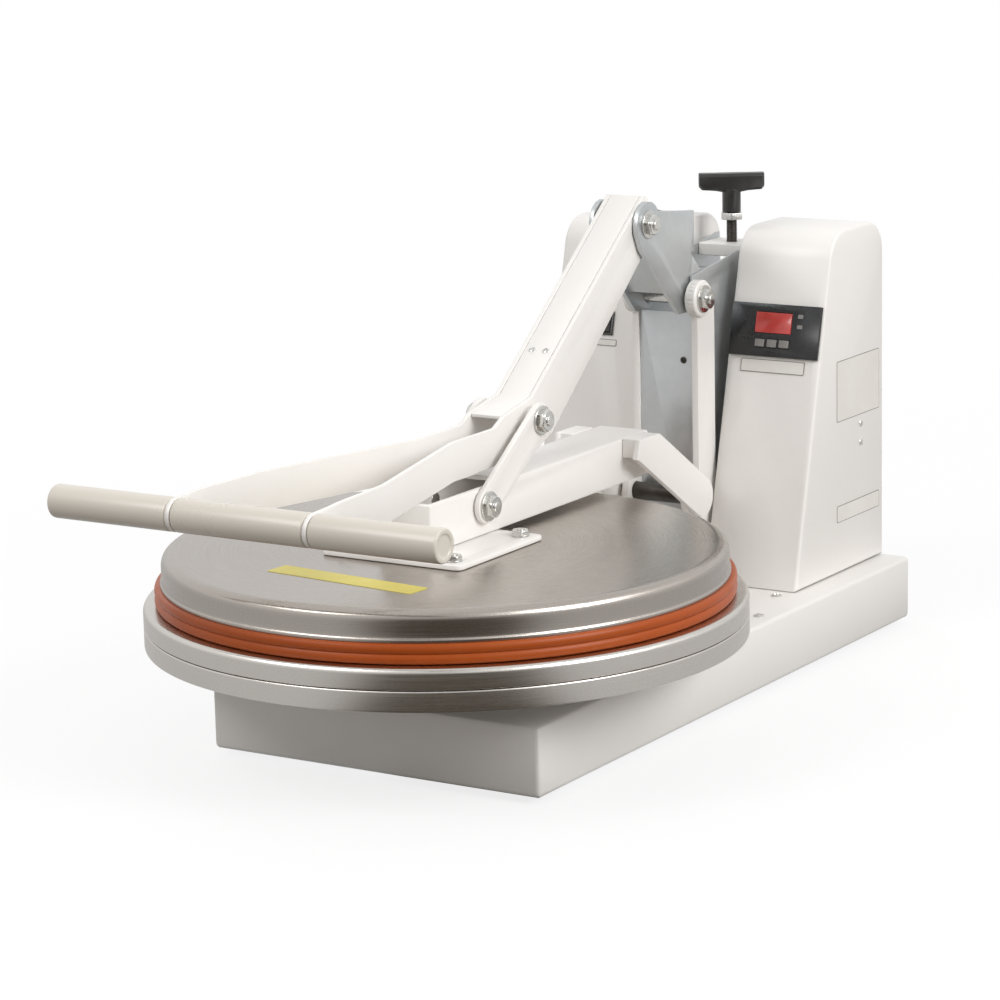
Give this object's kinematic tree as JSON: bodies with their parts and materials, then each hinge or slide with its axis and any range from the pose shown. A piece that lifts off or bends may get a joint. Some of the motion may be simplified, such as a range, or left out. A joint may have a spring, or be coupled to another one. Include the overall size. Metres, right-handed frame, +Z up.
{
  "type": "pizza dough press",
  "caption": "Countertop clamshell press with a long lever and toggle that lowers a round heated platen onto a fixed platen on a steel base, with twin control towers behind.",
  "frame": {"origin": "on the table, under the centre of the closed press's overall box", "axes": "+X to the operator's right, +Y from the operator to the back of the press, +Z up; the grip is at -Y"},
  "size_m": [0.482, 0.8094, 0.4083],
  "materials": {
    "white_paint": "satin white powder coat",
    "cream_paint": "satin cream coat on the grip tubes",
    "galvanised_steel": "matt zinc-grey sheet",
    "bright_steel": "bright zinc-plated fasteners and pins",
    "brushed_steel": "stainless sheet brushed in circles",
    "aluminium": "machined casting, satin",
    "orange_silicone": "matt orange-brown silicone",
    "black_plastic": "moulded black, satin",
    "panel_film": "black front film",
    "red_lens": "translucent red display window",
    "grey_button": "grey push buttons",
    "rubber": "black rubber feet",
    "insulation_fibre": "pressed mineral fibre",
    "dark_steel": "blackened steel"
  },
  "bodies": {
    "platen_arm": {"arm_foot_plate": "white_paint", "front_left_nut": "bright_steel", "front_right_nut": "bright_steel", "heating_element": "dark_steel", "insulation_board": "insulation_fibre", "left_hinge_cheek": "white_paint", "left_link_bolt": "bright_steel", "platen_arm": "white_paint", "platen_cover": "brushed_steel", "rear_left_nut": "bright_steel", "rear_right_nut": "bright_steel", "right_hinge_cheek": "white_paint", "right_link_bolt": "bright_steel", "silicone_ring": "orange_silicone", "upper_platen": "aluminium"},
    "machine": {"base_bottom_cover": "galvanised_steel", "base_housing": "white_paint", "column_channel": "galvanised_steel", "column_top_plate": "white_paint", "control_panel": "panel_film", "cord_gland": "black_plastic", "display_lens": "red_lens", "front_left_foot": "rubber", "front_right_foot": "rubber", "hinge_shaft": "bright_steel", "left_back_cover": "white_paint", "left_tower_casing": "white_paint", "left_upright": "white_paint", "lower_platen": "aluminium", "lower_platen_pan": "aluminium", "platen_pedestal": "galvanised_steel", "rear_left_foot": "rubber", "rear_right_foot": "rubber", "right_back_cover": "white_paint", "right_tower_casing": "white_paint", "right_upright": "white_paint", "rocker_pivot_pin": "bright_steel", "switch_body": "black_plastic", "temperature_controller": "black_plastic"},
    "down_button": {"down_button": "grey_button"},
    "lever": {"grip_centre_sleeve": "cream_paint", "grip_rod": "bright_steel", "left_grip_sleeve": "cream_paint", "left_lever_plate": "white_paint", "lever_web": "white_paint", "right_grip_sleeve": "cream_paint", "right_lever_plate": "white_paint"},
    "thickness_screw": {"knob_lock_nut": "bright_steel", "t_knob": "black_plastic", "thickness_screw": "dark_steel"},
    "toggle_links": {"left_elbow_bolt": "bright_steel", "left_toggle_link": "white_paint", "right_elbow_bolt": "bright_steel", "right_toggle_link": "white_paint"},
    "rocker": {"lever_pivot_pin": "bright_steel", "rocker_frame": "galvanised_steel", "screw_trunnion": "bright_steel"},
    "mode_button": {"mode_button": "grey_button"},
    "power_rocker": {"power_rocker": "black_plastic"},
    "up_button": {"up_button": "grey_button"}
  },
  "joints": [
    {"name": "platen_arm_hinge", "type": "hinge", "parent": "machine", "child": "platen_arm", "pos_m": [0, 0.22475, 0.1393], "axis": [-1, 0, 0], "range_deg": [0, 35]},
    {"name": "toggle_link_pivot", "type": "hinge", "parent": "platen_arm", "child": "toggle_links", "pos_m": [0, -0.10675, 0.195], "axis": [1, 0, 0], "range_deg": [0, 113.4]},
    {"name": "rocker_pivot", "type": "hinge", "parent": "machine", "child": "rocker", "pos_m": [0, 0.23725, 0.3117], "axis": [1, 0, 0], "range_deg": [-0.85, 0.85]},
    {"name": "lever_pivot", "type": "hinge", "parent": "rocker", "child": "lever", "pos_m": [0, 0.16525, 0.3845], "axis": [-1, 0, 0], "range_deg": [0, 56.2]},
    {"name": "thickness_screw_turn", "type": "hinge", "parent": "machine", "child": "thickness_screw", "pos_m": [0, 0.35575, 0.3442], "axis": [0, 0, -1], "range_deg": [-360, 360]},
    {"name": "mode_button_press", "type": "slide", "parent": "machine", "child": "mode_button", "axis": [0, 0.9715, -0.2368], "range_m": [0, 0.001], "stiffness_N_per_m": 400},
    {"name": "up_button_press", "type": "slide", "parent": "machine", "child": "up_button", "axis": [0, 0.9715, -0.2368], "range_m": [0, 0.001], "stiffness_N_per_m": 400},
    {"name": "down_button_press", "type": "slide", "parent": "machine", "child": "down_button", "axis": [0, 0.9715, -0.2368], "range_m": [0, 0.001], "stiffness_N_per_m": 400},
    {"name": "power_rocker_tilt", "type": "hinge", "parent": "machine", "child": "power_rocker", "pos_m": [-0.089, 0.28392, 0.275], "axis": [-1, 0, 0], "range_deg": [0, 16]}
  ],
  "couplings": [
    {"joint": "lever_pivot", "follows": "platen_arm_hinge", "ratio": 1.6046},
    {"joint": "toggle_link_pivot", "follows": "platen_arm_hinge", "ratio": 3.2374},
    {"joint": "thickness_screw_turn", "follows": "rocker_pivot", "ratio": 425.4}
  ]
}
